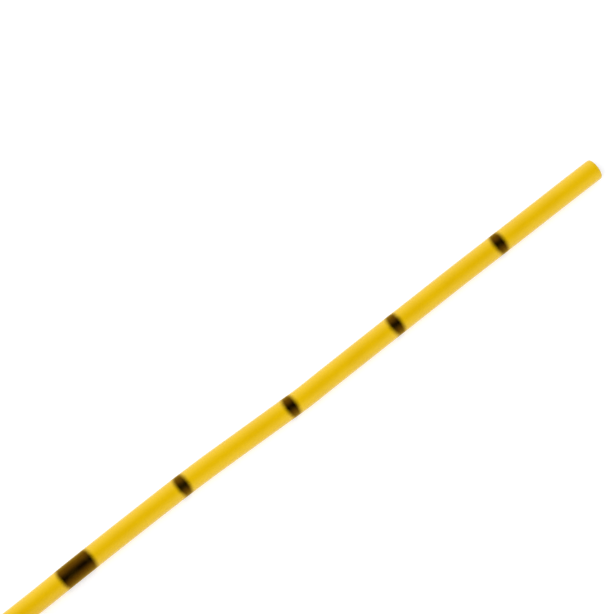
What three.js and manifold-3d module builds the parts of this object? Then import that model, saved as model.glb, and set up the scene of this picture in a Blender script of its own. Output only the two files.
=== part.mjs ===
// Open-end ureteral catheter, 5 Fr, 70 cm long, with its screw-lock luer connector.
// Millimetres, +Z up. The connector's axis runs along X: its luer mouth faces -X, and the catheter leaves it
// towards +X. The origin is below the middle of the connector, on the surface that everything lies on.
import * as THREE from 'three';
import { mergeVertices } from 'three/addons/utils/BufferGeometryUtils.js';
import Module from 'manifold-3d';

const wasm = await Module();
wasm.setup();

// ---------------------------------------------------------------- driving dimensions

// Catheter: 5 Fr is 5/3 mm outside, and the bore takes a 0.038 inch (0.97 mm) guide wire.
const CATHETER_DIAMETER = 5 / 3;
const CATHETER_BORE = 1.1;
const TUBE_SIDES = 8;
const TUBE_STEP = 3.4;

// Connector: places along its axis are measured from its middle
const AXIS_HEIGHT = 6;
const HALF_LENGTH = 19;
const GRIP_RADIUS = 6;
const ROUND_SIDES = 40;
const GAP = 0.3;

// Female luer socket: 6% taper, with two lugs for a lock ring
const LUER_MOUTH_RADIUS = 2.15;
const LUER_DEPTH = 8.6;
const LUER_TAPER = 0.06;
const LUER_TUBE_RADIUS = 3.35;
const LUG_RADIUS = 3.9;
const LUG_ROOT_WIDTH = 1.1;
const LUG_CREST_WIDTH = 0.7;
const LUG_LEAD = 5;
const LUG_TURNS = 80 / 360;

// Clamp screw: one right-hand start
const THREAD_PITCH = 2;
const NECK_RADIUS = 3.6;
const THREAD_CREST = 4.4;
const NUT_CAVITY_RADIUS = 4.7;
const NUT_THREAD_CREST = 3.9;
const THREAD_ROOT_WIDTH = 0.9;
const THREAD_CREST_WIDTH = 0.5;
const NECK_THREAD_FROM = 1.4;
const NECK_THREAD_TURNS = 3.25;
const NUT_THREAD_FROM = NECK_THREAD_FROM + 1.5 * THREAD_PITCH;
const NUT_THREAD_TURNS = 2.25;

// Gland inside the connector: the catheter's stop, the sleeve in its pocket, and the pusher behind it
const CATHETER_CLEARANCE_RADIUS = 1.15;
const CHANNEL_RADIUS = 0.55;
const CATHETER_STOP = -5;
const SEAT_FROM = 0.8;
const POCKET_FROM = 2;
const POCKET_RADIUS = 2.75;
const NECK_END = 9;
const SEAL_RADIUS = 2.4;
const SEAL_FROM = 1.25;
const SEAL_SHOULDER = 2.2;
const SEAL_END = 8.2;
const COLLAR_FROM = 11.8;
const COLLAR_END = 13;

// Coil: nine turns in three layers of three
const COIL_CENTRE = new THREE.Vector3(49.5, -7.65, 0);
const COIL_INNER = 7.65;
const COIL_OUTER = 12.75;
const COIL_TOP = 4.75;
const COIL_ROUNDING = 0.7;

// Tie round the coil's bundle
const TIE_WIDTH = 4;
const TIE_THICKNESS = 0.3;
const TIE_HEIGHT = 5.75;
const TIE_CORNER = 0.8;
const TIE_SPAN = [-14.2, -5.82];

// ---------------------------------------------------------------- solids

function solid(geometry) {
  const bare = geometry.clone();
  bare.deleteAttribute('normal');
  bare.deleteAttribute('uv');
  const merged = mergeVertices(bare, 1e-4);
  return new wasm.Manifold(new wasm.Mesh({
    numProp: 3,
    vertProperties: new Float32Array(merged.attributes.position.array),
    triVerts: new Uint32Array(merged.index.array),
  }));
}

function geometryOf(body) {
  const mesh = body.getMesh();
  const geometry = new THREE.BufferGeometry();
  geometry.setAttribute('position', new THREE.BufferAttribute(new Float32Array(mesh.vertProperties), 3));
  geometry.setIndex(new THREE.BufferAttribute(new Uint32Array(mesh.triVerts), 1));
  geometry.computeVertexNormals();
  return geometry;
}

// A profile of [radius, place along the axis] points, turned about the X axis.
function turned(profile, sides = ROUND_SIDES) {
  const points = profile.map(([radius, along]) => new THREE.Vector2(radius, along));
  return new THREE.LatheGeometry(points, sides).rotateZ(-Math.PI / 2);
}

// A round outline with rounded grooves round it, made into a bar along the X axis.
function flutedBar(radius, depth, count, from, to) {
  const POINTS_PER_FLUTE = 5;
  const total = count * POINTS_PER_FLUTE;
  const points = [];
  for (let i = 0; i < total; i++) {
    const angle = (2 * Math.PI * i) / total;
    const dip = (1 - Math.cos(count * angle)) / 2;
    const r = radius - depth * dip;
    points.push(new THREE.Vector2(r * Math.cos(angle), r * Math.sin(angle)));
  }
  const bar = new THREE.ExtrudeGeometry(new THREE.Shape(points), { depth: to - from, bevelEnabled: false });
  return bar.rotateY(Math.PI / 2).translate(from, 0, 0);
}

// A trapezoid ridge wound round the X axis: a straight bar of that section, bent into a right-hand helix.
function helicalRidge({ root, crest, rootWidth, crestWidth, lead, turns, start, phase = 0 }) {
  const STEPS_PER_TURN = 24;
  const section = new THREE.Shape([
    new THREE.Vector2(-rootWidth / 2, root),
    new THREE.Vector2(rootWidth / 2, root),
    new THREE.Vector2(crestWidth / 2, crest),
    new THREE.Vector2(-crestWidth / 2, crest),
  ]);
  const ridge = new THREE.ExtrudeGeometry(section, {
    depth: 2 * Math.PI * turns,
    steps: Math.max(3, Math.round(STEPS_PER_TURN * turns)),
    bevelEnabled: false,
  });
  const place = ridge.attributes.position;
  for (let i = 0; i < place.count; i++) {
    const angle = place.getZ(i);
    const radius = place.getY(i);
    const along = start + place.getX(i) + (lead * angle) / (2 * Math.PI);
    place.setXYZ(i, along, radius * Math.cos(angle + phase), radius * Math.sin(angle + phase));
  }
  return ridge;
}

// A ridge is sunk this far into the wall that carries it.
const RIDGE_BED = 0.2;

// ---------------------------------------------------------------- connector

const luerBottom = -HALF_LENGTH + LUER_DEPTH;
const luerBottomRadius = LUER_MOUTH_RADIUS - (LUER_DEPTH * LUER_TAPER) / 2;

// Clear body: luer socket, ribbed grip and threaded neck in one moulding
function connectorBody() {
  const CORE_FROM = -9.6;
  const CORE_END = -0.6;
  const CORE_RADIUS = 5;
  const GRIP_FROM = -9.4;
  const GRIP_END = -1;
  const GRIP_FLUTES = 12;
  const GRIP_FLUTE_DEPTH = 0.7;
  const MOUTH_ROUNDING = 0.15;
  const CORE_ROUNDING = 0.3;
  const NECK_CHAMFER = 0.25;
  const core = solid(turned([
    [0, -HALF_LENGTH],
    [LUER_TUBE_RADIUS - MOUTH_ROUNDING, -HALF_LENGTH],
    [LUER_TUBE_RADIUS, -HALF_LENGTH + MOUTH_ROUNDING],
    [LUER_TUBE_RADIUS, CORE_FROM - 1.2],
    [CORE_RADIUS, CORE_FROM],
    [CORE_RADIUS, CORE_END - CORE_ROUNDING],
    [CORE_RADIUS - CORE_ROUNDING, CORE_END],
    [NECK_RADIUS, CORE_END],
    [NECK_RADIUS, NECK_END - NECK_CHAMFER],
    [NECK_RADIUS - NECK_CHAMFER, NECK_END],
    [0, NECK_END],
  ]));
  const gripRound = solid(turned([
    [0, GRIP_FROM],
    [GRIP_RADIUS - 0.8, GRIP_FROM],
    [GRIP_RADIUS - 0.2, GRIP_FROM + 0.3],
    [GRIP_RADIUS, GRIP_FROM + 0.9],
    [GRIP_RADIUS, GRIP_END - 0.8],
    [GRIP_RADIUS - 0.2, GRIP_END - 0.2],
    [GRIP_RADIUS - 0.6, GRIP_END],
    [0, GRIP_END],
  ]));
  const fluted = flutedBar(GRIP_RADIUS, GRIP_FLUTE_DEPTH, GRIP_FLUTES, GRIP_FROM - 0.5, GRIP_END + 0.5);
  const grip = gripRound.intersect(solid(fluted));
  const thread = solid(helicalRidge({
    root: NECK_RADIUS - RIDGE_BED,
    crest: THREAD_CREST,
    rootWidth: THREAD_ROOT_WIDTH,
    crestWidth: THREAD_CREST_WIDTH,
    lead: THREAD_PITCH,
    turns: NECK_THREAD_TURNS,
    start: NECK_THREAD_FROM,
  }));
  let body = core.add(grip).add(thread);
  for (const phase of [0, Math.PI]) {
    body = body.add(solid(helicalRidge({
      root: LUER_TUBE_RADIUS - RIDGE_BED,
      crest: LUG_RADIUS,
      rootWidth: LUG_ROOT_WIDTH,
      crestWidth: LUG_CREST_WIDTH,
      lead: LUG_LEAD,
      turns: LUG_TURNS,
      start: -HALF_LENGTH + LUG_ROOT_WIDTH / 2 + 0.1,
      phase,
    })));
  }
  const bore = solid(turned([
    [0, -HALF_LENGTH - 1],
    [LUER_MOUTH_RADIUS + LUER_TAPER / 2, -HALF_LENGTH - 1],
    [luerBottomRadius, luerBottom],
    [CHANNEL_RADIUS, luerBottom + 0.6],
    [CHANNEL_RADIUS, CATHETER_STOP],
    [CATHETER_CLEARANCE_RADIUS, CATHETER_STOP],
    [CATHETER_CLEARANCE_RADIUS, SEAT_FROM],
    [POCKET_RADIUS, POCKET_FROM],
    [POCKET_RADIUS, NECK_END + 1],
    [0, NECK_END + 1],
  ]));
  return geometryOf(body.subtract(bore));
}

// Silicone sleeve that the screw squeezes onto the catheter; its front is a cone, as its seat is
function sealSleeve() {
  return turned([
    [CATHETER_CLEARANCE_RADIUS, SEAL_FROM],
    [SEAL_RADIUS, SEAL_SHOULDER],
    [SEAL_RADIUS, SEAL_END],
    [CATHETER_CLEARANCE_RADIUS, SEAL_END],
    [CATHETER_CLEARANCE_RADIUS, SEAL_FROM],
  ]);
}

// Stem and collar between nut and sleeve, so that the nut's turning doesn't twist the sleeve
function pusher() {
  const STEM_FROM = SEAL_END + GAP;
  const COLLAR_RADIUS = NUT_THREAD_CREST - GAP;
  return turned([
    [CATHETER_CLEARANCE_RADIUS, STEM_FROM],
    [SEAL_RADIUS, STEM_FROM],
    [SEAL_RADIUS, COLLAR_FROM],
    [COLLAR_RADIUS, COLLAR_FROM],
    [COLLAR_RADIUS, COLLAR_END],
    [CATHETER_CLEARANCE_RADIUS, COLLAR_END],
    [CATHETER_CLEARANCE_RADIUS, STEM_FROM],
  ]);
}

// Ribbed nut with a tapered nose and a funnel that guides the catheter in
function clampNut() {
  const MOUTH = 3;
  const MOUTH_CHAMFER = 0.5;
  const END_WALL = COLLAR_END + GAP;
  const NOSE_RADIUS = 3.6;
  const HOLE_RADIUS = CATHETER_CLEARANCE_RADIUS + 0.2;
  const FLUTES = 20;
  const FLUTE_DEPTH = 0.6;
  const outside = solid(turned([
    [0, MOUTH],
    [GRIP_RADIUS - MOUTH_CHAMFER, MOUTH],
    [GRIP_RADIUS, MOUTH + MOUTH_CHAMFER],
    [GRIP_RADIUS, 12.4],
    [GRIP_RADIUS - 0.25, 13.1],
    [GRIP_RADIUS - 1, 13.9],
    [NOSE_RADIUS + 0.6, 15.4],
    [NOSE_RADIUS + 0.15, 17],
    [NOSE_RADIUS, HALF_LENGTH - 0.5],
    [NOSE_RADIUS - 0.5, HALF_LENGTH],
    [0, HALF_LENGTH],
  ]));
  const fluted = flutedBar(GRIP_RADIUS, FLUTE_DEPTH, FLUTES, MOUTH - 1, HALF_LENGTH + 1);
  const ribbed = outside.intersect(solid(fluted));
  const hollow = solid(turned([
    [0, MOUTH - 1],
    [NUT_CAVITY_RADIUS, MOUTH - 1],
    [NUT_CAVITY_RADIUS, END_WALL],
    [HOLE_RADIUS, END_WALL],
    [HOLE_RADIUS, HALF_LENGTH - 2],
    [2.2, HALF_LENGTH - 0.4],
    [2.9, HALF_LENGTH + 0.2],
    [0, HALF_LENGTH + 0.2],
  ]));
  const thread = solid(helicalRidge({
    root: NUT_CAVITY_RADIUS + RIDGE_BED,
    crest: NUT_THREAD_CREST,
    rootWidth: THREAD_ROOT_WIDTH,
    crestWidth: THREAD_CREST_WIDTH,
    lead: THREAD_PITCH,
    turns: NUT_THREAD_TURNS,
    start: NUT_THREAD_FROM,
  }));
  return geometryOf(ribbed.subtract(hollow).add(thread));
}

// ---------------------------------------------------------------- catheter

// The hollow tube, laid along hand-chosen points
function tubeAlong(points) {
  const route = points.map(([x, y, z]) => new THREE.Vector3(x, y, z));
  const curve = new THREE.CatmullRomCurve3(route, false, 'centripetal');
  const ring = (radius) => Array.from({ length: TUBE_SIDES }, (_, i) => {
    const angle = (2 * Math.PI * (i + 0.5)) / TUBE_SIDES;
    return new THREE.Vector2(radius * Math.cos(angle), radius * Math.sin(angle));
  });
  const section = new THREE.Shape(ring(CATHETER_DIAMETER / 2));
  section.holes.push(new THREE.Path(ring(CATHETER_BORE / 2).reverse()));
  const steps = Math.round(curve.getLength() / TUBE_STEP);
  return new THREE.ExtrudeGeometry(section, { steps, bevelEnabled: false, extrudePath: curve });
}

// From the open tip to the coil, flat on the surface, with the slight bends that it keeps from its pouch
const tipRun = [
  [118.5, 5.19, 0.84],
  [115.5, 5.177, 0.84],
  [111.9, 5.146, 0.84],
  [108.5, 5.125, 0.84],
  [104.7, 5.108, 0.84],
  [101.1, 5.062, 0.84],
  [97.5, 5.023, 0.84],
  [94.8, 4.985, 0.84],
  [92.1, 4.945, 0.84],
  [90.3, 4.91, 0.84],
  [87.7, 4.99, 0.84],
  [84.1, 5.1, 0.84],
  [81.4, 5.177, 0.84],
  [78.7, 5.2, 0.84],
  [76, 5.184, 0.84],
  [72.5, 5.142, 0.84],
  [68.8, 5.077, 0.84],
  [65.2, 4.993, 0.84],
  [61, 4.95, 0.84],
  [57, 4.98, 0.84],
];

// From the coil's top turn, over its own turns, to the stop inside the connector
const tailRun = [
  [49.5, 0.05, 5.92],
  [46, 0, 5.94],
  [41, 0, 5.93],
  [36, 0, 5.88],
  [31, 0, 5.88],
  [26, 0, 5.96],
  [22, 0, AXIS_HEIGHT],
  [18, 0, AXIS_HEIGHT],
  [12, 0, AXIS_HEIGHT],
  [6, 0, AXIS_HEIGHT],
  [1, 0, AXIS_HEIGHT],
  [CATHETER_STOP + 0.5, 0, AXIS_HEIGHT],
];

// Outer shape of the wound coil, relieved underneath where the tie passes
function coil() {
  const inner = COIL_INNER - CATHETER_DIAMETER / 2;
  const outer = COIL_OUTER + CATHETER_DIAMETER / 2;
  const ring = new THREE.LatheGeometry([
    [inner + COIL_ROUNDING, 0],
    [outer - COIL_ROUNDING, 0],
    [outer, COIL_ROUNDING],
    [outer, COIL_TOP - COIL_ROUNDING],
    [outer - COIL_ROUNDING, COIL_TOP],
    [inner + COIL_ROUNDING, COIL_TOP],
    [inner, COIL_TOP - COIL_ROUNDING],
    [inner, COIL_ROUNDING],
    [inner + COIL_ROUNDING, 0],
  ].map(([radius, height]) => new THREE.Vector2(radius, height)), 36).rotateX(Math.PI / 2);
  const reliefHeight = 2 * (TIE_THICKNESS + GAP);
  const relief = new THREE.BoxGeometry(TIE_WIDTH + 2 * GAP, 2 * outer, reliefHeight).translate(0, -outer, 0);
  return geometryOf(solid(ring).subtract(solid(relief)));
}

// Flat band round the bundle, on the side of the coil that faces away from the catheter's two ends
function tie() {
  const [outer, inner] = TIE_SPAN;
  const loop = (inset, Kind) => {
    const low = outer + inset;
    const high = inner - inset;
    const bottom = inset;
    const top = TIE_HEIGHT - inset;
    const corner = TIE_CORNER - inset;
    const path = new Kind();
    path.absarc(high - corner, bottom + corner, corner, -Math.PI / 2, 0, false);
    path.absarc(high - corner, top - corner, corner, 0, Math.PI / 2, false);
    path.absarc(low + corner, top - corner, corner, Math.PI / 2, Math.PI, false);
    path.absarc(low + corner, bottom + corner, corner, Math.PI, 1.5 * Math.PI, false);
    path.closePath();
    return path;
  };
  const outline = loop(0, THREE.Shape);
  outline.holes.push(loop(TIE_THICKNESS, THREE.Path));
  const settings = { depth: TIE_WIDTH, bevelEnabled: false, curveSegments: 4 };
  const band = new THREE.ExtrudeGeometry(outline, settings);
  return band.rotateX(Math.PI / 2).rotateZ(Math.PI / 2).translate(-TIE_WIDTH / 2, 0, 0);
}

// ---------------------------------------------------------------- materials and assembly

const CATHETER_YELLOW = 0xe8b800;

function plastic(color, roughness, extra = {}) {
  return new THREE.MeshStandardMaterial({ color, roughness, metalness: 0, ...extra });
}

function piece(name, geometry, material) {
  const mesh = new THREE.Mesh(geometry, material);
  mesh.name = name;
  return mesh;
}

const connector = new THREE.Group();
connector.position.set(0, 0, AXIS_HEIGHT);
connector.add(
  piece('connector_body', connectorBody(), plastic(0xe8eef0, 0.15, { transparent: true, opacity: 0.35 })),
  piece('seal_sleeve', sealSleeve(), plastic(0xe6dcc8, 0.5)),
  piece('pusher', pusher(), plastic(0xf2f2ee, 0.4)),
  piece('clamp_nut', clampNut(), plastic(0xa6a9ac, 0.35)),
);

const woundCoil = new THREE.Group();
woundCoil.position.copy(COIL_CENTRE);
woundCoil.add(
  piece('catheter_coil', coil(), plastic(CATHETER_YELLOW, 0.3)),
  piece('coil_tie', tie(), plastic(0xf6f6f2, 0.6)),
);

const catheter = new THREE.Group();
catheter.add(
  piece('catheter_tip_run', tubeAlong(tipRun), plastic(CATHETER_YELLOW, 0.3)),
  piece('catheter_tail', tubeAlong(tailRun), plastic(CATHETER_YELLOW, 0.3)),
  woundCoil,
);

const assembly = new THREE.Group();
assembly.add(connector, catheter);

export default assembly;
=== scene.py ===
import math

import bpy
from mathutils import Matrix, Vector


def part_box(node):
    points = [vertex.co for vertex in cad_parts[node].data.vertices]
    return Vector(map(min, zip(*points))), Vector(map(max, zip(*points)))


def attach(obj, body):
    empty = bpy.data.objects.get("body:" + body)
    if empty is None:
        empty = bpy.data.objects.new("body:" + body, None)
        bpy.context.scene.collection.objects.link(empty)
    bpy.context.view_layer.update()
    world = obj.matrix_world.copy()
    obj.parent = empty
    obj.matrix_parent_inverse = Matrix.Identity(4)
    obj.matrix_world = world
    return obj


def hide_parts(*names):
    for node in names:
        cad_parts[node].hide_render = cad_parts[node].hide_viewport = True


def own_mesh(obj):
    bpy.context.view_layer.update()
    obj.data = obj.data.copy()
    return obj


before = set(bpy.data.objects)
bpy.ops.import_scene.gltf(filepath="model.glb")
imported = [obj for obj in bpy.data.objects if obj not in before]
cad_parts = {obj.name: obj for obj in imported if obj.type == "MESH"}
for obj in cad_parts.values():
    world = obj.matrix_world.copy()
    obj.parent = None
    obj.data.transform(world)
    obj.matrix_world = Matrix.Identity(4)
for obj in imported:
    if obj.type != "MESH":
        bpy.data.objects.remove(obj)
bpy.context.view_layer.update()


# ------------------------------------------------------------------ table top, light tent and camera
# The catheter lies on a matt white panel that is lit a little from below, inside a white light tent.
# The tent is brightest low down on every side and darkest at its opening overhead.

MM = 0.001


class Nodes:
    """The node tree of a material, or of the tent's light, with short calls for its nodes."""

    def __init__(self, owner, kind="Material"):
        owner.use_nodes = True
        self.owner = owner
        self.tree = owner.node_tree
        self.tree.nodes.clear()
        self.out = self.tree.nodes.new("ShaderNodeOutput" + kind)
        self.coordinates = self.tree.nodes.new("ShaderNodeTexCoord")

    def link(self, source, socket):
        self.tree.links.new(source, socket)

    def feed(self, socket, value):
        """A value is either another node's output or a plain number, colour or vector."""
        if isinstance(value, bpy.types.NodeSocket):
            self.link(value, socket)
        else:
            socket.default_value = value

    def math(self, operation, a, b=0.0):
        node = self.tree.nodes.new("ShaderNodeMath")
        node.operation = operation
        self.feed(node.inputs[0], a)
        self.feed(node.inputs[1], b)
        return node.outputs[0]

    def dot(self, vector, direction):
        node = self.tree.nodes.new("ShaderNodeVectorMath")
        node.operation = "DOT_PRODUCT"
        self.link(vector, node.inputs[0])
        node.inputs[1].default_value = direction
        return node.outputs["Value"]

    def spread(self, value, low, high, from_low=0.0, from_high=1.0, smooth=False):
        """value, which runs from from_low to from_high, made to run from low to high."""
        node = self.tree.nodes.new("ShaderNodeMapRange")
        node.interpolation_type = "SMOOTHSTEP" if smooth else "LINEAR"
        self.feed(node.inputs["Value"], value)
        node.inputs["From Min"].default_value = from_low
        node.inputs["From Max"].default_value = from_high
        node.inputs["To Min"].default_value = low
        node.inputs["To Max"].default_value = high
        return node.outputs["Result"]

    def plastic(self, **sockets):
        """A Principled shader; a socket's name is written with _ for each space."""
        node = self.tree.nodes.new("ShaderNodeBsdfPrincipled")
        for name, value in sockets.items():
            self.feed(node.inputs[name.replace("_", " ")], value)
        return node.outputs[0]

    def surface(self, shader):
        self.link(shader, self.out.inputs["Surface"])
        return self.owner


TABLE_SIZE = 16.0
TABLE_WHITE = (0.60, 0.61, 0.63, 1.0)
TABLE_GLOW = 0.88

bpy.ops.mesh.primitive_plane_add(size=TABLE_SIZE, location=(0, 0, 0))
table_top = bpy.context.object
table_top.name = "table_top"
panel = Nodes(bpy.data.materials.new("table_white"))
table_top.data.materials.append(panel.surface(panel.plastic(
    Base_Color=TABLE_WHITE,
    Roughness=0.9,
    Specular_IOR_Level=0.0,
    Emission_Color=TABLE_WHITE,
    Emission_Strength=TABLE_GLOW,
)))

# The lens looks down at the last stretch of the tube from its left, and the tip points up and to the right.
tip_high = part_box("catheter_tip_run")[1]
AIM_BEHIND_TIP = 23.15 * MM
AIM_ACROSS = 10.575 * MM
AIM = Vector((tip_high.x - AIM_BEHIND_TIP, AIM_ACROSS, 0))
LOOK_AZIMUTH = math.radians(40.18)
LOOK_DOWN = math.radians(65)
LENS_DISTANCE = 0.6
FOCAL_LENGTH = 482.8
look = Vector((
    math.sin(LOOK_AZIMUTH) * math.cos(LOOK_DOWN),
    math.cos(LOOK_AZIMUTH) * math.cos(LOOK_DOWN),
    -math.sin(LOOK_DOWN),
))
lens = bpy.data.cameras.new("camera")
lens.sensor_width = 36
lens.lens = FOCAL_LENGTH
lens.clip_start = 0.05
lens.clip_end = 20
camera = bpy.data.objects.new("camera", lens)
bpy.context.collection.objects.link(camera)
camera.rotation_mode = "QUATERNION"
camera.location = AIM - look * LENS_DISTANCE
camera.rotation_quaternion = look.to_track_quat("-Z", "Y")
bpy.context.scene.camera = camera

# The opening is on the far side of the tube from the lens, so the tube's upper line mirrors it.
OPENING = (look.x, -look.y, -look.z)
OVERHEAD_LIGHT = 0.06
SIDE_LIGHT = 1.45
tent = Nodes(bpy.data.worlds.new("light_tent"), "World")
bpy.context.scene.world = tent.owner
towards_opening = tent.dot(tent.coordinates.outputs["Generated"], OPENING)
squared = tent.math("MULTIPLY", towards_opening, towards_opening)
tent_cloth = tent.tree.nodes.new("ShaderNodeBackground")
tent.link(tent.spread(squared, OVERHEAD_LIGHT, SIDE_LIGHT, 1.0, 0.0), tent_cloth.inputs["Strength"])
tent_cloth.inputs["Color"].default_value = (1.0, 1.0, 1.0, 1.0)
tent.surface(tent_cloth.outputs[0])

# One soft box, high up on the lens's side, lights the tops and gives faint shadows beside the tube.
KEY_PLACE = Vector((-0.62, -0.2, 0.93))
KEY_SIZE = 0.6
KEY_WATTS = 6.0
key_lamp = bpy.data.lights.new("key_box", "AREA")
key_lamp.shape = "SQUARE"
key_lamp.size = KEY_SIZE
key_lamp.energy = KEY_WATTS
key_box = bpy.data.objects.new("key_box", key_lamp)
bpy.context.collection.objects.link(key_box)
key_box.location = KEY_PLACE
key_box.rotation_mode = "QUATERNION"
key_box.rotation_quaternion = (AIM - KEY_PLACE).to_track_quat("-Z", "Y")
key_box.visible_camera = False

bpy.context.scene.view_settings.view_transform = "Standard"


# ------------------------------------------------------------------ catheter
# One 5 Fr tube of yellow radiopaque polyurethane, extruded in one length of 70 cm and cut square at the tip.
# It is pushed into the connector, runs over the coil and lies flat on the table as far as its open tip.

TUBE_RADIUS = 5 / 6 * MM
BORE_RADIUS = 0.55 * MM
AXIS_HEIGHT = 6 * MM

# From inside the connector to the top of the coil
TAIL_RUN = [
    (-4.5, 0, 6), (1, 0, 6), (6, 0, 6), (12, 0, 6), (18, 0, 6), (22, 0, 6),
    (26, 0, 5.96), (31, 0, 5.88), (36, 0, 5.88), (41, 0, 5.93), (46, 0, 5.94),
]
# From the coil to the tip, flat on the table, with the slight bends that it keeps from its pouch
TIP_RUN = [
    (57, 4.98, 0.84), (61, 4.95, 0.84), (65.2, 4.993, 0.84), (68.8, 5.077, 0.84), (72.5, 5.142, 0.84),
    (76, 5.184, 0.84), (78.7, 5.2, 0.84), (81.4, 5.177, 0.84), (84.1, 5.1, 0.84), (87.7, 4.99, 0.84),
    (90.3, 4.91, 0.84), (92.1, 4.945, 0.84), (94.8, 4.985, 0.84), (97.5, 5.023, 0.84), (101.1, 5.062, 0.84),
    (104.7, 5.108, 0.84), (108.5, 5.125, 0.84), (111.9, 5.146, 0.84), (115.5, 5.177, 0.84),
    (118.5, 5.19, 0.84),
]
# Coil: three layers of three turns, wound in, out and in again, a diameter apart. The tube climbs to the next
# layer within a quarter turn, and it is lifted a little where the tie's film passes beneath it.
COIL_CENTRE = Vector((49.5, -7.65, 0))
COIL_INNER = 7.65
COIL_OUTER = 12.75
LAYERS = 3
TURNS_PER_LAYER = 3
LAYER_HEIGHTS = (0.84, 2.52, 4.2, 5.92)
POINTS_PER_TURN = 36
CLIMB_TURNS = 0.25
LAST_CLIMB_EARLY = 0.16
TIE_LIFT = 0.33
TIE_LIFT_REACH = 2.6
TIE_LIFT_RUN_OUT = 7


def ease(x):
    """0 below 0, 1 above 1, smooth between."""
    x = min(1.0, max(0.0, x))
    return x * x * (3 - 2 * x)


def coil_point(turn):
    """A point of the coil, turn turns after the tip run meets it; the tip run meets it at its +Y side."""
    layer = turn / TURNS_PER_LAYER
    share = layer % 2
    inward = share if share <= 1 else 2 - share
    radius = COIL_OUTER + (COIL_INNER - COIL_OUTER) * inward
    climb_share = CLIMB_TURNS / TURNS_PER_LAYER
    height = LAYER_HEIGHTS[0]
    for number in range(1, LAYERS + 1):
        step = LAYER_HEIGHTS[number] - LAYER_HEIGHTS[number - 1]
        middle = number if number < LAYERS else LAYERS - LAST_CLIMB_EARLY / TURNS_PER_LAYER
        height += step * ease((layer - middle) / climb_share + 0.5)
    angle = math.pi / 2 + 2 * math.pi * turn
    from_tie = abs((turn % 1) - 0.5) * 2 * math.pi * radius
    lift = TIE_LIFT * (1 - ease((from_tie - TIE_LIFT_REACH) / TIE_LIFT_RUN_OUT))
    return COIL_CENTRE + Vector((radius * math.cos(angle), radius * math.sin(angle), height + lift))


def smooth_route(points, step):
    """Points step apart on one smooth curve through the given points."""
    out = []
    last = len(points) - 1
    for i in range(last):
        a, b, c, d = (points[max(0, min(last, i + k))] for k in (-1, 0, 1, 2))
        if i == 0:
            a = b * 2 - c
        if i == last - 1:
            d = c * 2 - b
        knots = [0.0]
        for p, q in ((a, b), (b, c), (c, d)):
            knots.append(knots[-1] + max((q - p).length, 1e-9) ** 0.5)
        t0, t1, t2, t3 = knots
        pieces = max(1, round((c - b).length / step))
        for k in range(pieces):
            t = t1 + (t2 - t1) * k / pieces
            ab = a * ((t1 - t) / (t1 - t0)) + b * ((t - t0) / (t1 - t0))
            bc = b * ((t2 - t) / (t2 - t1)) + c * ((t - t1) / (t2 - t1))
            cd = c * ((t3 - t) / (t3 - t2)) + d * ((t - t2) / (t3 - t2))
            abc = ab * ((t2 - t) / (t2 - t0)) + bc * ((t - t0) / (t2 - t0))
            bcd = bc * ((t3 - t) / (t3 - t1)) + cd * ((t - t1) / (t3 - t1))
            out.append(abc * ((t2 - t) / (t2 - t1)) + bcd * ((t - t1) / (t2 - t1)))
    out.append(points[-1])
    return out


STATION_STEP = 0.55
last_coil_point = LAYERS * TURNS_PER_LAYER * POINTS_PER_TURN
coil_points = [coil_point(i / POINTS_PER_TURN) for i in range(last_coil_point, -1, -1)]
route = [Vector(p) for p in TAIL_RUN] + coil_points + [Vector(p) for p in TIP_RUN]
centreline = [p * MM for p in smooth_route(route, STATION_STEP)]

TUBE_SIDES = 32
TIP_EDGE = 0.2 * MM
TIP_INNER_EDGE = 0.06 * MM
EDGE_STEPS = 6


def quarter(k):
    """Sine and cosine of the k-th step round a rounded edge."""
    turn = math.pi / 2 * k / EDGE_STEPS
    return math.sin(turn), math.cos(turn)


def new_mesh(name, verts, faces):
    mesh = bpy.data.meshes.new(name)
    mesh.from_pydata(verts, [], faces)
    mesh.shade_smooth()
    mesh.update()
    return mesh


def ring_faces(count, sides):
    """Faces between count rings of the same number of sides, the last joined to the first."""
    faces = []
    for i in range(count):
        here = i * sides
        there = (i + 1) % count * sides
        for k in range(sides):
            after = (k + 1) % sides
            faces.append((here + k, here + after, there + after, there + k))
    return faces


def tube_mesh(line):
    """The catheter along line: up the outside, round the tip's edges and back down the bore. from_tip holds
    each point's distance, in millimetres along the tube, from the tip."""
    last = len(line) - 1
    tangents = [(line[min(i + 1, last)] - line[max(i - 1, 0)]).normalized() for i in range(last + 1)]
    to_tip = [0.0]
    for p, q in zip(line[::-1], line[-2::-1]):
        to_tip.append(to_tip[-1] + (q - p).length)
    to_tip.reverse()
    across = tangents[0].orthogonal().normalized()
    frames = []
    for tangent in tangents:
        across = (across - tangent * across.dot(tangent)).normalized()
        frames.append((across.copy(), tangent.cross(across)))
    straight = [i for i in range(last + 1) if to_tip[i] > 1.5 * TIP_EDGE]
    stations = [(i, 0.0, TUBE_RADIUS) for i in straight]
    for k in range(EDGE_STEPS + 1):
        rise, drop = quarter(k)
        stations.append((last, TIP_EDGE * (rise - 1), TUBE_RADIUS - TIP_EDGE * (1 - drop)))
    for k in range(EDGE_STEPS + 1):
        rise, drop = quarter(k)
        stations.append((last, TIP_INNER_EDGE * (drop - 1), BORE_RADIUS + TIP_INNER_EDGE * (1 - rise)))
    stations += [(i, 0.0, BORE_RADIUS) for i in reversed(straight)]
    verts = []
    from_tip = []
    for i, shift, radius in stations:
        side, up = frames[i]
        for k in range(TUBE_SIDES):
            angle = 2 * math.pi * k / TUBE_SIDES
            outward = side * math.cos(angle) + up * math.sin(angle)
            verts.append(line[i] + tangents[i] * shift + outward * radius)
            from_tip.append((to_tip[i] - shift) / MM)
    mesh = new_mesh("catheter", verts, ring_faces(len(stations), TUBE_SIDES))
    mesh.attributes.new("from_tip", "FLOAT", "POINT").data.foreach_set("value", from_tip)
    return mesh


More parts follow.
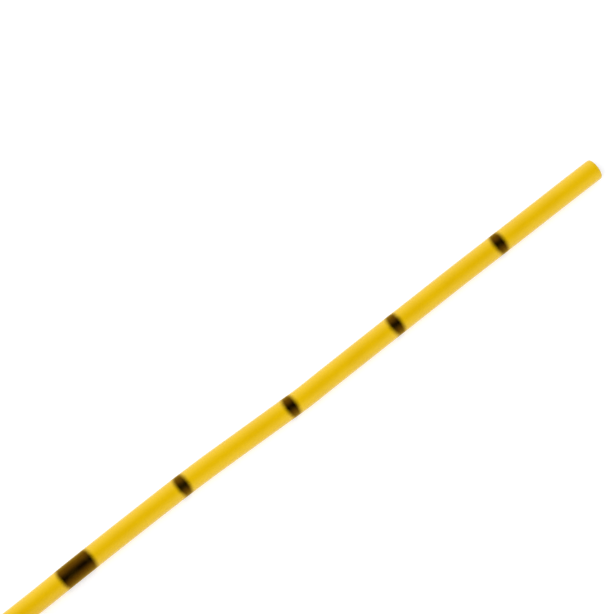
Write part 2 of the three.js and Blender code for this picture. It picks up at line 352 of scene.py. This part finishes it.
def add_piece(name, mesh, material):
    """The piece in the scene, with its material."""
    piece = bpy.data.objects.new(name, mesh)
    bpy.context.collection.objects.link(piece)
    mesh.materials.append(material)
    return piece


# Printed depth rings: one each centimetre, every fifth one three times as wide. The pad comes down from PAD,
# so round the tube's sides the ink is thinner and each ring is narrower and bowed towards the tip. The yellow
# let through at the sides is partly real thin print and partly a painted glow, standing for the brownish
# light at the rings' sides.
FIRST_RING = 9.6
RING_STEP = 10.0
RING_WIDTH = 1.0
WIDE_RING_WIDTH = 3.0
RING_COUNT = 30
INK_EDGE = 0.25
PAD = (0, -0.26, 0.966)
SIDE_NARROWING = 0.25
SIDE_BOW = 0.2
# Ink left at the tube's sides; the yellow let through there is partly thinner print and partly a painted
# glow.
SIDE_INK_COVER_AND_PAINTED_GLOW = 0.7
FURTHEST_ASIDE = 0.55
RAGGED_EDGE = 0.06
PINHOLE_SHARE = 0.012
YELLOW = (0.735, 0.445, 0.0004, 1)
PALE_STREAK = (0.76, 0.468, 0.0006, 1)
YELLOW_GLOSS = (1.0, 1.0, 0.35, 1)
INK = (0.082, 0.033, 0.001, 1)
THIN_INK = (0.092, 0.037, 0.0012, 1)
BRONZE_SHEEN = (1.0, 0.75, 0.3, 1)


class Finish(Nodes):
    """A piece's material, with the nodes for printed marks, mottling and fine bumps as well."""

    def attribute(self, name):
        node = self.tree.nodes.new("ShaderNodeAttribute")
        node.attribute_name = name
        return node.outputs["Fac"]

    def noise(self, scale, detail=2.0, stretch=(1, 1, 1)):
        mapping = self.tree.nodes.new("ShaderNodeMapping")
        mapping.inputs["Scale"].default_value = stretch
        self.link(self.coordinates.outputs["Object"], mapping.inputs["Vector"])
        node = self.tree.nodes.new("ShaderNodeTexNoise")
        node.inputs["Scale"].default_value = scale
        node.inputs["Detail"].default_value = detail
        self.link(mapping.outputs[0], node.inputs["Vector"])
        return node.outputs[0]

    def blend(self, share, first, second):
        node = self.tree.nodes.new("ShaderNodeMix")
        node.data_type = "RGBA"
        self.feed(node.inputs[0], share)
        self.feed(node.inputs[6], first)
        self.feed(node.inputs[7], second)
        return node.outputs[2]

    def bump(self, height, distance, strength=1.0):
        node = self.tree.nodes.new("ShaderNodeBump")
        node.inputs["Strength"].default_value = strength
        node.inputs["Distance"].default_value = distance
        self.link(height, node.inputs["Height"])
        return node.outputs[0]


def catheter_finish():
    """Yellow polyurethane with its ink rings, which have a bronze sheen and edges that soak in a little."""
    n = Finish(bpy.data.materials.new("catheter_yellow"))
    facing_pad = n.dot(n.coordinates.outputs["Normal"], PAD)
    aside = n.spread(facing_pad, FURTHEST_ASIDE, 0.0, 1.0 - FURTHEST_ASIDE, 1.0)
    along = n.math("ADD", n.attribute("from_tip"), n.math("MULTIPLY", aside, SIDE_BOW))
    count = n.math("DIVIDE", n.math("SUBTRACT", along, FIRST_RING), RING_STEP)
    nearest = n.math("ROUND", count)
    off_centre = n.math("MULTIPLY", n.math("ABSOLUTE", n.math("SUBTRACT", count, nearest)), RING_STEP)
    fifth = n.math("COMPARE", n.math("MODULO", n.math("ADD", nearest, 1.0), 5.0), 0.0)
    full_half = n.math("ADD", RING_WIDTH / 2, n.math("MULTIPLY", fifth, (WIDE_RING_WIDTH - RING_WIDTH) / 2))
    half = n.math("SUBTRACT", full_half, n.math("MULTIPLY", aside, SIDE_NARROWING))
    ragged = n.spread(n.noise(2600, 3), -RAGGED_EDGE, RAGGED_EDGE)
    past_edge = n.math("SUBTRACT", n.math("ADD", off_centre, ragged), half)
    printed = n.spread(past_edge, 1.0, 0.0, -INK_EDGE, INK_EDGE, smooth=True)
    first = n.math("GREATER_THAN", nearest, -0.5)
    before_last = n.math("LESS_THAN", nearest, RING_COUNT - 0.5)
    pinholes = n.spread(n.noise(1700, 4), 0.0, PINHOLE_SHARE, 0.45, 0.62)
    # Less ink round the sides: partly thinner print, partly a painted glow (yellow let through for the
    # brownish light at the rings' sides). The pinholes are real print faults.
    ink_cover_and_painted_side_glow = n.math("SUBTRACT", n.spread(facing_pad, SIDE_INK_COVER_AND_PAINTED_GLOW, 1.0, 0.1, 0.8), pinholes)
    ink_share = n.math("MULTIPLY", n.math("MULTIPLY", printed, ink_cover_and_painted_side_glow), n.math("MULTIPLY", first, before_last))

    cloud = n.noise(380)
    fine = n.noise(5200)
    streaks = n.spread(cloud, 0.0, 1.0, 0.35, 0.65)
    tube = n.plastic(
        Base_Color=n.blend(streaks, YELLOW, PALE_STREAK),
        Roughness=n.spread(fine, 0.13, 0.22),
        Specular_Tint=YELLOW_GLOSS,
        IOR=1.62,
        Normal=n.bump(fine, 0.000004, 0.35),
    )
    ink = n.plastic(
        Base_Color=n.blend(cloud, INK, THIN_INK),
        Metallic=1.0,
        Roughness=n.spread(fine, 0.12, 0.2),
        Specular_Tint=BRONZE_SHEEN,
        Normal=n.bump(fine, 0.000006, 0.4),
    )
    mixed = n.tree.nodes.new("ShaderNodeMixShader")
    n.link(ink_share, mixed.inputs[0])
    n.link(tube, mixed.inputs[1])
    n.link(ink, mixed.inputs[2])
    return n.surface(mixed.outputs[0])


catheter = add_piece("catheter", tube_mesh(centreline), catheter_finish())
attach(catheter, "catheter")
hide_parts("catheter_tip_run", "catheter_coil", "catheter_tail")


# ------------------------------------------------------------------ coil tie
# A flat white polyethylene band, 4 mm wide, goes once round the bundle of turns.
# Its end laps over its start on top of the coil and is welded there.

TIE_WIDTH = 4 * MM
TIE_FILM = 0.16 * MM
TIE_ROUNDING = TUBE_RADIUS + 0.03 * MM + TIE_FILM / 2
OUTER_STRAND = 11.9
INNER_STRAND = 8.5
LAP = 0.9 * MM
LAP_RISE = 1.15 * TIE_FILM
THINNED_EDGE = 0.55
MILKY_FILM = (0.66, 0.69, 0.70, 1)
WHITE_FILM = (0.76, 0.78, 0.79, 1)


def tie_outline():
    """Points round the bundle, with an overlap on top that rides up over the start."""
    CORNER_STEPS = 8
    low_y = (COIL_CENTRE.y - OUTER_STRAND) * MM
    high_y = (COIL_CENTRE.y - INNER_STRAND) * MM
    low_z = (LAYER_HEIGHTS[0] + TIE_LIFT) * MM
    high_z = (LAYER_HEIGHTS[2] + TIE_LIFT) * MM
    middle = (low_y + high_y) / 2
    top = high_z + TIE_ROUNDING
    points = [(middle, top)]
    for y, z, start in ((low_y, high_z, 90), (low_y, low_z, 180), (high_y, low_z, 270), (high_y, high_z, 0)):
        for k in range(CORNER_STEPS + 1):
            angle = math.radians(start + 90 * k / CORNER_STEPS)
            points.append((y + TIE_ROUNDING * math.cos(angle), z + TIE_ROUNDING * math.sin(angle)))
    for share in (0.25, 0.5, 0.75, 1.0):
        points.append((high_y + (middle - high_y) * share * 0.9, top + LAP_RISE * ease(share * 2.2)))
    points.append((middle - LAP, top + LAP_RISE))
    return points


def band_mesh(outline):
    """A strip of film that follows the outline in the YZ plane; its long edges are slightly rounded."""
    WIDTH_STEPS = 10
    last = len(outline) - 1
    around = [(k / WIDTH_STEPS - 0.5, 1) for k in range(WIDTH_STEPS + 1)]
    around += [(share, -1) for share, _ in reversed(around)]
    sides = len(around)
    verts = []
    for i, (y, z) in enumerate(outline):
        along = (Vector(outline[min(i + 1, last)]) - Vector(outline[max(i - 1, 0)])).normalized()
        for share, face in around:
            half_film = TIE_FILM / 2 * (THINNED_EDGE if abs(share) == 0.5 else 1.0)
            verts.append((
                COIL_CENTRE.x * MM + share * TIE_WIDTH,
                y + along.y * face * half_film,
                z - along.x * face * half_film,
            ))
    faces = ring_faces(len(outline), sides)[:-sides]
    for first, flip in ((0, False), (last * sides, True)):
        for k in range(WIDTH_STEPS):
            quad = (first + k, first + sides - 1 - k, first + sides - 2 - k, first + k + 1)
            faces.append(quad if flip else quad[::-1])
    return new_mesh("coil_tie_band", verts, faces)


def tie_finish():
    """Thin milky film with fine lengthwise draw lines."""
    n = Finish(bpy.data.materials.new("tie_film"))
    draw = n.noise(900, 3, stretch=(6, 0.5, 0.5))
    return n.surface(n.plastic(
        Base_Color=n.blend(n.noise(500), MILKY_FILM, WHITE_FILM),
        Roughness=n.spread(draw, 0.35, 0.55),
        Subsurface_Weight=0.3,
        Subsurface_Radius=(1.0, 1.0, 1.0),
        Subsurface_Scale=0.0004,
        Normal=n.bump(draw, 0.00002, 0.5),
    ))


coil_tie = add_piece("coil_tie_band", band_mesh(tie_outline()), tie_finish())
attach(coil_tie, "catheter")
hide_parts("coil_tie")


# ------------------------------------------------------------------ connector body
# One clear polycarbonate moulding: the female luer socket with its two lugs, the ribbed grip, and the
# threaded neck with the sleeve's pocket. The catheter goes in as far as the step in front of the channel.

MOUTH = -19.0
NECK_END = 9.0
NECK_RADIUS = 3.6
CATHETER_HOLE = 1.15
BODY_OUTLINE = [
    # along the axis, radius, rounding
    (MOUTH, 3.35, 0.18), (-10.8, 3.35, 0.7), (-9.5, 4.95, 0.2), (-9.4, 6.0, 0.9), (-1.0, 6.0, 0.6),
    (-0.95, 4.95, 0.05), (-0.6, 4.8, 0.12), (-0.6, NECK_RADIUS, 0.15), (NECK_END, NECK_RADIUS, 0.25),
    (NECK_END, 2.75, 0.08), (2.0, 2.75, 0.1), (0.8, CATHETER_HOLE, 0.1), (-5.0, CATHETER_HOLE, 0.06),
    (-5.0, 0.55, 0.06), (-9.8, 0.55, 0.12), (-10.4, 1.892, 0.2), (MOUTH, 2.15, 0.12),
]
BODY_BORE = 3.3
BODY_SIDES = 144
GRIP_FROM = -9.4
GRIP_TO = -1.0
GRIP_FLUTES = 12
GRIP_FLUTE_DEPTH = 0.7
GRIP_RUN_OUT = 1.1
THREAD = {"lead": 2.0, "root": 0.9, "crest": 0.5}
THREAD_HEIGHT = 0.8
NECK_THREAD_FROM = 1.4
NECK_THREAD_TURNS = 3.25
LUG = {"lead": 5.0, "root": 1.1, "crest": 0.7}
LUG_HEIGHT = 0.55
LUG_FROM = -18.35
LUG_TURNS = 80 / 360
CLEAR_BLUE = (0.70, 0.82, 0.87, 1)
CLEAR_PALE = (0.80, 0.89, 0.92, 1)


def rounded(corners, outer_step, bore_step, bore_radius):
    """A closed outline with each corner rounded; its stretches outside bore_radius are cut up more finely."""
    ARC_STEPS = 5
    points = []
    for i, (along, radius, rounding) in enumerate(corners):
        corner = Vector((along, radius))
        to_last = Vector(corners[i - 1][:2]) - corner
        to_next = Vector(corners[(i + 1) % len(corners)][:2]) - corner
        start = corner + to_last.normalized() * min(rounding, 0.48 * to_last.length)
        end = corner + to_next.normalized() * min(rounding, 0.48 * to_next.length)
        for k in range(ARC_STEPS + 1):
            t = k / ARC_STEPS
            points.append(start * (1 - t) ** 2 + corner * (2 * t * (1 - t)) + end * t ** 2)
    out = []
    for i, p in enumerate(points):
        q = points[(i + 1) % len(points)]
        step = outer_step if min(p.y, q.y) > bore_radius else bore_step
        pieces = max(1, math.ceil((q - p).length / step))
        out += [p.lerp(q, k / pieces) for k in range(pieces)]
    return out


def flutes(along, angle, count, depth, first, last, run_out):
    """Depth of rounded grooves that lie along the axis and run out at both ends."""
    ends = ease((along - first) / run_out) * ease((last - along) / run_out)
    return -depth * ends * (1 - math.cos(count * angle)) / 2


def ridge(along, angle, form, start, turns, height, phase=0.0):
    """Height of a right-handed helical ridge, softened at its ends."""
    END_ANGLE = 0.14
    turn = (angle - phase) / (2 * math.pi)
    wound = turn + round((along - start) / form["lead"] - turn)
    held = min(max(wound, 0.0), turns)
    off_line = abs(along - start - form["lead"] * held)
    flank = (form["root"] / 2 - off_line) / ((form["root"] - form["crest"]) / 2)
    return height * ease(flank) * (1 - ease(abs(wound - held) * 2 * math.pi / END_ANGLE))


def turned_mesh(name, outline, sides, relief=None):
    """The outline turned about the connector's axis; relief(along, radius, angle) is added to each radius."""
    verts = []
    for p in outline:
        for k in range(sides):
            angle = 2 * math.pi * k / sides
            radius = p.y + (relief(p.x, p.y, angle) if relief else 0.0)
            across = radius * math.cos(angle) * MM
            up = radius * math.sin(angle) * MM
            verts.append((p.x * MM, across, up + AXIS_HEIGHT))
    mesh = new_mesh(name, verts, ring_faces(len(outline), sides))
    mesh.set_sharp_from_angle(angle=math.radians(50))
    return mesh


def body_relief(along, radius, angle):
    """Grip flutes, neck thread and luer lugs."""
    if radius < BODY_BORE:
        return 0.0
    if along > GRIP_TO + 0.5:
        if along > NECK_END - 0.3:
            return 0.0
        return ridge(along, angle, THREAD, NECK_THREAD_FROM, NECK_THREAD_TURNS, THREAD_HEIGHT)
    if along > GRIP_FROM - 0.05:
        return flutes(along, angle, GRIP_FLUTES, GRIP_FLUTE_DEPTH, GRIP_FROM, GRIP_TO, GRIP_RUN_OUT)
    if along > MOUTH + 0.02:
        return max(ridge(along, angle, LUG, LUG_FROM, LUG_TURNS, LUG_HEIGHT, side) for side in (0.0, math.pi))
    return 0.0


def clear_finish():
    """Clear polycarbonate: polished, with a faint haze, flow lines and a fine matt mould texture."""
    n = Finish(bpy.data.materials.new("clear_polycarbonate"))
    flow = n.noise(260, 3, stretch=(0.35, 1, 1))
    fine = n.noise(9000)
    return n.surface(n.plastic(
        Base_Color=n.blend(flow, CLEAR_BLUE, CLEAR_PALE),
        Roughness=n.spread(fine, 0.05, 0.14),
        IOR=1.585,
        Transmission_Weight=1.0,
        Normal=n.bump(n.math("ADD", flow, n.math("MULTIPLY", fine, 0.15)), 0.00003, 0.3),
    ))


body_outline = rounded(BODY_OUTLINE, outer_step=0.14, bore_step=0.7, bore_radius=BODY_BORE)
body_mesh = turned_mesh("luer_body", body_outline, BODY_SIDES, body_relief)
connector_body = add_piece("luer_body", body_mesh, clear_finish())
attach(connector_body, "connector")
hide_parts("connector_body")


# ------------------------------------------------------------------ silicone sleeve
# A short moulded silicone sleeve with a cone at its front sits in the body's pocket round the catheter.
# The screw squeezes it endways, so that it grips and seals the catheter.

SLEEVE_FRONT = 1.25
SLEEVE_BACK = 8.2
SLEEVE_OUTLINE = [
    (SLEEVE_FRONT, 1.15, 0.08), (2.2, 2.4, 0.25), (SLEEVE_BACK, 2.4, 0.25), (SLEEVE_BACK, 0.88, 0.15),
    (SLEEVE_FRONT, 0.88, 0.08),
]
SLEEVE_SIDES = 72
SILICONE_SHADE = (0.78, 0.74, 0.66, 1)
SILICONE_PALE = (0.87, 0.84, 0.77, 1)


def silicone_finish():
    """Milky silicone, dull and slightly uneven."""
    n = Finish(bpy.data.materials.new("milky_silicone"))
    cloud = n.noise(700, 3)
    return n.surface(n.plastic(
        Base_Color=n.blend(cloud, SILICONE_SHADE, SILICONE_PALE),
        Roughness=n.spread(cloud, 0.42, 0.6),
        IOR=1.41,
        Subsurface_Weight=0.4,
        Subsurface_Radius=(1.0, 0.8, 0.6),
        Subsurface_Scale=0.0008,
        Normal=n.bump(cloud, 0.00002, 0.4),
    ))


sleeve_outline = rounded(SLEEVE_OUTLINE, outer_step=0.3, bore_step=0.3, bore_radius=0)
sleeve_mesh = turned_mesh("silicone_sleeve", sleeve_outline, SLEEVE_SIDES)
sleeve = add_piece("silicone_sleeve", sleeve_mesh, silicone_finish())
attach(sleeve, "connector")
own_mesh(sleeve)
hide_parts("seal_sleeve")


# ------------------------------------------------------------------ pusher
# A natural polypropylene stem with a collar, loose inside the nut. The nut bears on the collar and drives the
# stem straight in, so that the nut's turning doesn't twist the sleeve.

PUSHER_OUTLINE = [
    (8.5, 2.4, 0.2), (11.8, 2.4, 0.12), (11.8, 3.6, 0.15), (13.0, 3.6, 0.2), (13.0, 1.05, 0.12),
    (8.5, 1.05, 0.12),
]
PUSHER_SIDES = 96
WAXY_WHITE = (0.80, 0.81, 0.79, 1)
PALE_WAX = (0.87, 0.88, 0.86, 1)


def polypropylene_finish():
    """Natural polypropylene: waxy, faintly cloudy, with the marks of the mould's polishing."""
    n = Finish(bpy.data.materials.new("natural_polypropylene"))
    polish = n.noise(1500, 3, stretch=(4, 0.6, 0.6))
    return n.surface(n.plastic(
        Base_Color=n.blend(n.noise(600), WAXY_WHITE, PALE_WAX),
        Roughness=n.spread(polish, 0.3, 0.46),
        IOR=1.49,
        Subsurface_Weight=0.35,
        Subsurface_Radius=(1.0, 0.9, 0.8),
        Subsurface_Scale=0.0007,
        Normal=n.bump(polish, 0.00001, 0.4),
    ))


pusher_outline = rounded(PUSHER_OUTLINE, outer_step=0.4, bore_step=0.4, bore_radius=0)
pusher_mesh = turned_mesh("gland_pusher", pusher_outline, PUSHER_SIDES)
pusher = add_piece("gland_pusher", pusher_mesh, polypropylene_finish())
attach(pusher, "pusher")
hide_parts("pusher")


# ------------------------------------------------------------------ clamp nut
# An ABS nut, moulded grey for 5 Fr, with twenty ribs outside and a funnel in its tapered nose that guides the
# catheter in. Its inner thread runs on the body's neck, and turning it clockwise clamps the catheter.

NUT_MOUTH = 3.0
NUT_CAVITY = 4.7
NOSE_END = 19.0
NUT_OUTLINE = [
    (NUT_MOUTH, 6.0, 0.45), (12.5, 6.0, 1.0), (13.9, 5.0, 0.8), (15.4, 4.2, 1.1), (17.0, 3.75, 0.8),
    (NOSE_END, 3.55, 0.5), (NOSE_END, 2.85, 0.25), (18.4, 2.15, 0.4), (17.0, 1.35, 0.5), (13.3, 1.35, 0.1),
    (13.3, NUT_CAVITY, 0.2), (NUT_MOUTH, NUT_CAVITY, 0.2),
]
NUT_SIDES = 160
NUT_BORE = 4.6
RIB_ROOT = 5.4
RIBS_FROM = 3.1
RIBS_TO = 13.1
NUT_FLUTES = 20
NUT_FLUTE_DEPTH = 0.6
NUT_RUN_OUT = 1.0
NUT_THREAD_FROM = NECK_THREAD_FROM + 1.5 * THREAD["lead"]
NUT_THREAD_TURNS = 2.25
NUT_GREY = (0.350, 0.362, 0.380, 1)
NUT_PALE_GREY = (0.385, 0.397, 0.412, 1)


def nut_relief(along, radius, angle):
    """Finger ribs outside, and the thread inside, which stands in towards the axis."""
    if radius > RIB_ROOT:
        return flutes(along, angle, NUT_FLUTES, NUT_FLUTE_DEPTH, RIBS_FROM, RIBS_TO, NUT_RUN_OUT)
    if abs(radius - NUT_CAVITY) < 0.01 and along < RIBS_TO - 0.1:
        return -ridge(along, angle, THREAD, NUT_THREAD_FROM, NUT_THREAD_TURNS, THREAD_HEIGHT)
    return 0.0


def nut_finish():
    """Grey ABS with a fine satin spark texture, a little glossier in patches."""
    n = Finish(bpy.data.materials.new("grey_abs"))
    spark = n.noise(6500, 3)
    cloud = n.noise(240)
    return n.surface(n.plastic(
        Base_Color=n.blend(cloud, NUT_GREY, NUT_PALE_GREY),
        Roughness=n.math("ADD", n.spread(spark, 0.26, 0.40), n.spread(cloud, -0.05, 0.05)),
        IOR=1.52,
        Subsurface_Weight=0.12,
        Subsurface_Radius=(1.0, 0.9, 0.8),
        Subsurface_Scale=0.0005,
        Normal=n.bump(spark, 0.000012, 0.5),
    ))


nut_outline = rounded(NUT_OUTLINE, outer_step=0.16, bore_step=0.7, bore_radius=NUT_BORE)
nut_mesh = turned_mesh("ribbed_nut", nut_outline, NUT_SIDES, nut_relief)
clamp_nut = add_piece("ribbed_nut", nut_mesh, nut_finish())
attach(clamp_nut, "nut")
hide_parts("clamp_nut")
